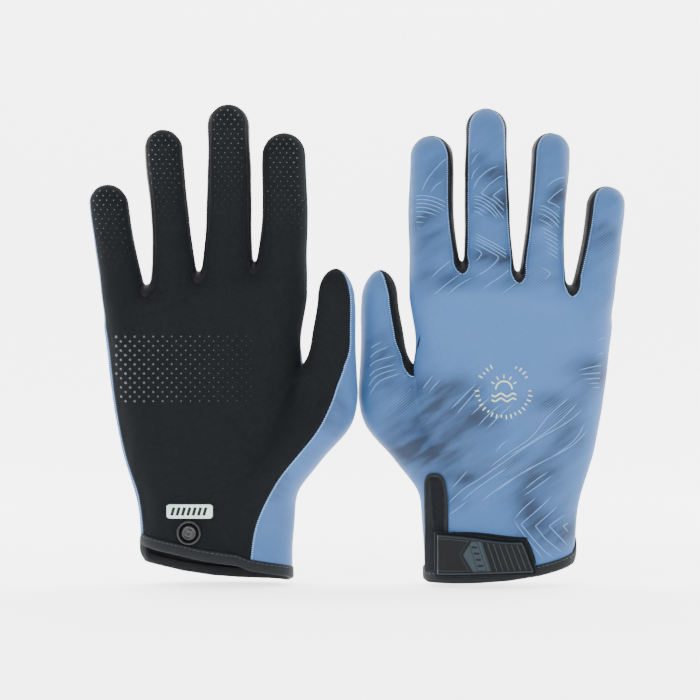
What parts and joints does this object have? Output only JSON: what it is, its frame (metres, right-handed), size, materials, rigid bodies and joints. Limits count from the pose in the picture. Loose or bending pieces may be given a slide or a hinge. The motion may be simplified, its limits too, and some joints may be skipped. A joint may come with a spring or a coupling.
{
  "type": "sailing gloves",
  "caption": "Pair of full-finger sailing gloves: printed stretch back, suede palm with grip dots, side strips between fingers, cuff tape, snap and peel strap.",
  "frame": {"origin": "middle of glove A's cuff opening", "axes": "+Z from the cuffs to the fingertips, +X from glove A to glove B, glove A's palm and glove B's back face -Y"},
  "size_m": [0.268, 0.0392, 0.2368],
  "materials": {
    "blue_fabric": "printed four-way stretch knit, satin sheen",
    "black_suede": "matte synthetic suede",
    "black_side": "smooth stretch fabric",
    "black_tape": "woven elastic tape",
    "black_fleece": "brushed loop fabric",
    "rubber": "moulded satin",
    "mint_film": "printed film",
    "black_snap": "satin moulded"
  },
  "bodies": {
    "glove_a_hand": {"glove_a_back_panel": "blue_fabric", "glove_a_cuff_binding": "black_tape", "glove_a_loop_patch": "black_fleece", "glove_a_palm_panel": "black_suede", "glove_a_snap_centre": "black_snap", "glove_a_snap_ring": "black_snap", "glove_a_snap_washer": "black_snap", "glove_a_vent_gusset": "black_fleece", "glove_a_web_little_ring": "black_side", "glove_a_web_middle_index": "black_side", "glove_a_web_ring_middle": "black_side", "glove_a_wrist_label": "mint_film"},
    "glove_a_strap": {"glove_a_hook_strap": "black_fleece", "glove_a_pull_tab": "rubber"},
    "glove_a_index": {"glove_a_index_back": "blue_fabric", "glove_a_index_palm": "black_suede", "glove_a_index_side_ulnar": "black_side"},
    "glove_a_little": {"glove_a_little_back": "blue_fabric", "glove_a_little_palm": "black_suede", "glove_a_little_side_radial": "black_side"},
    "glove_a_middle": {"glove_a_middle_back": "blue_fabric", "glove_a_middle_palm": "black_suede", "glove_a_middle_side_radial": "black_side", "glove_a_middle_side_ulnar": "black_side"},
    "glove_a_ring": {"glove_a_ring_back": "blue_fabric", "glove_a_ring_palm": "black_suede", "glove_a_ring_side_radial": "black_side", "glove_a_ring_side_ulnar": "black_side"},
    "glove_a_thumb": {"glove_a_thumb_back": "blue_fabric", "glove_a_thumb_palm": "black_suede"},
    "glove_b_hand": {"glove_b_back_panel": "blue_fabric", "glove_b_cuff_binding": "black_tape", "glove_b_loop_patch": "black_fleece", "glove_b_palm_panel": "black_suede", "glove_b_snap_centre": "black_snap", "glove_b_snap_ring": "black_snap", "glove_b_snap_washer": "black_snap", "glove_b_vent_gusset": "black_fleece", "glove_b_web_little_ring": "black_side", "glove_b_web_middle_index": "black_side", "glove_b_web_ring_middle": "black_side", "glove_b_wrist_label": "mint_film"},
    "glove_b_strap": {"glove_b_hook_strap": "black_fleece", "glove_b_pull_tab": "rubber"},
    "glove_b_index": {"glove_b_index_back": "blue_fabric", "glove_b_index_palm": "black_suede", "glove_b_index_side_ulnar": "black_side"},
    "glove_b_little": {"glove_b_little_back": "blue_fabric", "glove_b_little_palm": "black_suede", "glove_b_little_side_radial": "black_side"},
    "glove_b_middle": {"glove_b_middle_back": "blue_fabric", "glove_b_middle_palm": "black_suede", "glove_b_middle_side_radial": "black_side", "glove_b_middle_side_ulnar": "black_side"},
    "glove_b_ring": {"glove_b_ring_back": "blue_fabric", "glove_b_ring_palm": "black_suede", "glove_b_ring_side_radial": "black_side", "glove_b_ring_side_ulnar": "black_side"},
    "glove_b_thumb": {"glove_b_thumb_back": "blue_fabric", "glove_b_thumb_palm": "black_suede"}
  },
  "joints": [
    {"name": "glove_a_little_flex", "type": "hinge", "parent": "glove_a_hand", "child": "glove_a_little", "pos_m": [-0.04817, -0.01085, 0.1417], "axis": [0.9912, 0, 0.1323], "range_deg": [0, 85]},
    {"name": "glove_a_ring_flex", "type": "hinge", "parent": "glove_a_hand", "child": "glove_a_ring", "pos_m": [-0.02164, -0.01098, 0.1491], "axis": [0.9974, 0, 0.0715], "range_deg": [0, 85]},
    {"name": "glove_a_middle_flex", "type": "hinge", "parent": "glove_a_hand", "child": "glove_a_middle", "pos_m": [0.00549, -0.01141, 0.15472], "axis": [1, 0, -0.0087], "range_deg": [0, 85]},
    {"name": "glove_a_index_flex", "type": "hinge", "parent": "glove_a_hand", "child": "glove_a_index", "pos_m": [0.03286, -0.01119, 0.15431], "axis": [0.9998, 0, -0.0209], "range_deg": [0, 85]},
    {"name": "glove_a_thumb_flex", "type": "hinge", "parent": "glove_a_hand", "child": "glove_a_thumb", "pos_m": [0.0545, -0.01688, 0.1029], "axis": [0.9651, -0.2588, -0.0401], "range_deg": [0, 50]},
    {"name": "glove_a_strap_peel", "type": "hinge", "parent": "glove_a_hand", "child": "glove_a_strap", "pos_m": [0.0354, 0.00923, 0.005], "axis": [0, 0, -1], "range_deg": [0, 120]},
    {"name": "glove_b_apart", "type": "slide", "parent": "glove_a_hand", "child": "glove_b_hand", "axis": [1, 0, 0], "range_m": [0, 0.04]},
    {"name": "glove_b_little_flex", "type": "hinge", "parent": "glove_b_hand", "child": "glove_b_little", "pos_m": [0.18937, 0.01085, 0.1417], "axis": [-0.9912, 0, 0.1323], "range_deg": [0, 85]},
    {"name": "glove_b_ring_flex", "type": "hinge", "parent": "glove_b_hand", "child": "glove_b_ring", "pos_m": [0.16284, 0.01098, 0.1491], "axis": [-0.9974, 0, 0.0715], "range_deg": [0, 85]},
    {"name": "glove_b_middle_flex", "type": "hinge", "parent": "glove_b_hand", "child": "glove_b_middle", "pos_m": [0.13571, 0.01141, 0.15472], "axis": [-1, 0, -0.0087], "range_deg": [0, 85]},
    {"name": "glove_b_index_flex", "type": "hinge", "parent": "glove_b_hand", "child": "glove_b_index", "pos_m": [0.10834, 0.01119, 0.15431], "axis": [-0.9998, 0, -0.0209], "range_deg": [0, 85]},
    {"name": "glove_b_thumb_flex", "type": "hinge", "parent": "glove_b_hand", "child": "glove_b_thumb", "pos_m": [0.0867, 0.01688, 0.1029], "axis": [-0.9651, 0.2588, -0.0401], "range_deg": [0, 50]},
    {"name": "glove_b_strap_peel", "type": "hinge", "parent": "glove_b_hand", "child": "glove_b_strap", "pos_m": [0.1058, -0.00923, 0.005], "axis": [0, 0, -1], "range_deg": [0, 120]}
  ]
}
